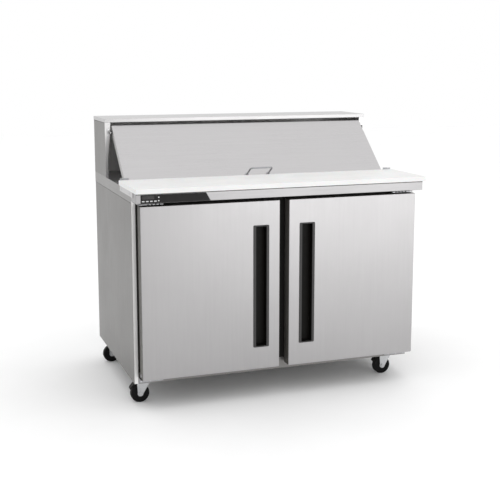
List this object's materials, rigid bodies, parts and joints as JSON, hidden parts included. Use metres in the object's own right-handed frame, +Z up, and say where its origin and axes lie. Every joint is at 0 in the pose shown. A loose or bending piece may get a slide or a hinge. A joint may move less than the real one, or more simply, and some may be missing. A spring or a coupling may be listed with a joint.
{
  "type": "sandwich prep table",
  "caption": "Refrigerated sandwich prep table: stainless cabinet on casters with overlay doors, cutting board, sloping hinged lid over food pans and a shelf-topped hood.",
  "frame": {"origin": "on the floor under the middle of the overall box", "axes": "+Z up, -Y the side the doors and the cutting board face, +X to the right of someone facing the doors from the front"},
  "size_m": [1.228, 0.828, 1.118],
  "materials": {
    "outer_steel": "satin",
    "galvanised": "satin",
    "pan_steel": "satin",
    "foam": "matte",
    "liner_aluminium": "satin",
    "dark_frame": "matte",
    "lid_inner": "satin",
    "gasket": "matte",
    "pull_plastic": "satin",
    "display_glass": "gloss",
    "key_plastic": "satin",
    "circuit_board": "satin",
    "board_plastic": "satin",
    "bright_metal": "polished",
    "zinc": "satin",
    "wheel_black": "satin",
    "compressor_black": "gloss",
    "fin_aluminium": "satin",
    "fan_plastic": "satin",
    "copper": "satin",
    "shelf_wire": "satin"
  },
  "bodies": {
    "cabinet": {"side_panel_left": "outer_steel", "side_panel_right": "outer_steel", "base_pan": "outer_steel", "worktop": "outer_steel", "fascia": "outer_steel", "hood_side_left": "outer_steel", "hood_side_right": "outer_steel", "hood_shelf": "outer_steel", "rear_panel": "galvanised", "rear_grille": "galvanised", "shelf_pilasters": "galvanised", "pan_divider_bars": "galvanised", "board_brackets": "galvanised", "food_pans": "pan_steel", "cabinet_insulation": "foam", "interior_liner": "liner_aluminium", "face_frame": "dark_frame", "control_plate": "pull_plastic", "display_window": "display_glass", "controller_board": "circuit_board", "door_hinge_brackets": "bright_metal", "fasteners": "bright_metal", "lid_hinge_ears": "zinc", "caster_plates": "zinc", "compressor": "compressor_black", "condenser": "fin_aluminium", "evaporator": "fin_aluminium", "refrigerant_lines": "copper", "wire_shelves": "shelf_wire"},
    "lid": {"lid_skin": "outer_steel", "lid_liner": "lid_inner", "lid_pull": "bright_metal", "lid_hinge_pins": "bright_metal"},
    "board": {"cutting_board": "board_plastic"},
    "door_left": {"door_skin_left": "outer_steel", "door_liner_left": "dark_frame", "door_gasket_left": "gasket", "door_pull_left": "pull_plastic", "door_pivot_blocks_left": "pull_plastic"},
    "door_right": {"door_skin_right": "outer_steel", "door_liner_right": "dark_frame", "door_gasket_right": "gasket", "door_pull_right": "pull_plastic", "door_pivot_blocks_right": "pull_plastic"},
    "key_1": {"key_1": "key_plastic"},
    "key_2": {"key_2": "key_plastic"},
    "key_3": {"key_3": "key_plastic"},
    "key_4": {"key_4": "key_plastic"},
    "caster_front_left": {"caster_fork_front_left": "zinc"},
    "wheel_front_left": {"caster_wheel_front_left": "wheel_black"},
    "brake_front_left": {"brake_pedal_front_left": "pull_plastic"},
    "caster_front_right": {"caster_fork_front_right": "zinc"},
    "wheel_front_right": {"caster_wheel_front_right": "wheel_black"},
    "brake_front_right": {"brake_pedal_front_right": "pull_plastic"},
    "caster_rear_left": {"caster_fork_rear_left": "zinc"},
    "wheel_rear_left": {"caster_wheel_rear_left": "wheel_black"},
    "caster_rear_right": {"caster_fork_rear_right": "zinc"},
    "wheel_rear_right": {"caster_wheel_rear_right": "wheel_black"},
    "condenser_fan": {"condenser_fan": "fan_plastic"},
    "evaporator_fan": {"evaporator_fan": "fan_plastic"}
  },
  "joints": [
    {"name": "left_door_hinge", "type": "hinge", "parent": "cabinet", "child": "door_left", "pos_m": [-0.5775, -0.34, 0.47], "axis": [0, 0, -1], "range_deg": [0, 120]},
    {"name": "right_door_hinge", "type": "hinge", "parent": "cabinet", "child": "door_right", "pos_m": [0.5775, -0.34, 0.47], "axis": [0, 0, 1], "range_deg": [0, 120]},
    {"name": "lid_hinge", "type": "hinge", "parent": "cabinet", "child": "lid", "pos_m": [0, 0.14845, 1.05932], "axis": [-1, 0, 0], "range_deg": [0, 132]},
    {"name": "board_lift_off", "type": "slide", "parent": "cabinet", "child": "board", "axis": [0, -0.9397, 0.342], "range_m": [0, 0.3]},
    {"name": "key_1_press", "type": "slide", "parent": "cabinet", "child": "key_1", "axis": [0, 1, 0], "range_m": [0, 0.0008], "stiffness_N_per_m": 800, "springref_m": -0.0005},
    {"name": "key_2_press", "type": "slide", "parent": "cabinet", "child": "key_2", "axis": [0, 1, 0], "range_m": [0, 0.0008], "stiffness_N_per_m": 800, "springref_m": -0.0005},
    {"name": "key_3_press", "type": "slide", "parent": "cabinet", "child": "key_3", "axis": [0, 1, 0], "range_m": [0, 0.0008], "stiffness_N_per_m": 800, "springref_m": -0.0005},
    {"name": "key_4_press", "type": "slide", "parent": "cabinet", "child": "key_4", "axis": [0, 1, 0], "range_m": [0, 0.0008], "stiffness_N_per_m": 800, "springref_m": -0.0005},
    {"name": "front_left_swivel", "type": "hinge", "parent": "cabinet", "child": "caster_front_left", "pos_m": [-0.5435, -0.235, 0.088], "axis": [0, 0, 1], "continuous": true},
    {"name": "front_left_roll", "type": "hinge", "parent": "caster_front_left", "child": "wheel_front_left", "pos_m": [-0.5715, -0.235, 0.038], "axis": [0, 1, 0], "continuous": true},
    {"name": "front_left_brake", "type": "hinge", "parent": "caster_front_left", "child": "brake_front_left", "pos_m": [-0.5795, -0.235, 0.08], "axis": [0, -1, 0], "range_deg": [0, 7]},
    {"name": "front_right_swivel", "type": "hinge", "parent": "cabinet", "child": "caster_front_right", "pos_m": [0.5435, -0.235, 0.088], "axis": [0, 0, 1], "continuous": true},
    {"name": "front_right_roll", "type": "hinge", "parent": "caster_front_right", "child": "wheel_front_right", "pos_m": [0.5155, -0.235, 0.038], "axis": [0, 1, 0], "continuous": true},
    {"name": "front_right_brake", "type": "hinge", "parent": "caster_front_right", "child": "brake_front_right", "pos_m": [0.5075, -0.235, 0.08], "axis": [0, -1, 0], "range_deg": [0, 7]},
    {"name": "rear_left_swivel", "type": "hinge", "parent": "cabinet", "child": "caster_rear_left", "pos_m": [-0.5435, 0.329, 0.088], "axis": [0, 0, 1], "continuous": true},
    {"name": "rear_left_roll", "type": "hinge", "parent": "caster_rear_left", "child": "wheel_rear_left", "pos_m": [-0.5715, 0.329, 0.038], "axis": [0, 1, 0], "continuous": true},
    {"name": "rear_right_swivel", "type": "hinge", "parent": "cabinet", "child": "caster_rear_right", "pos_m": [0.5435, 0.329, 0.088], "axis": [0, 0, 1], "continuous": true},
    {"name": "rear_right_roll", "type": "hinge", "parent": "caster_rear_right", "child": "wheel_rear_right", "pos_m": [0.5155, 0.329, 0.038], "axis": [0, 1, 0], "continuous": true},
    {"name": "condenser_fan_spin", "type": "hinge", "parent": "cabinet", "child": "condenser_fan", "pos_m": [0.2, 0.3125, 0.27], "axis": [0, 1, 0], "continuous": true},
    {"name": "evaporator_fan_spin", "type": "hinge", "parent": "cabinet", "child": "evaporator_fan", "pos_m": [0.16, 0.33, 0.69], "axis": [0, 1, 0], "continuous": true}
  ]
}
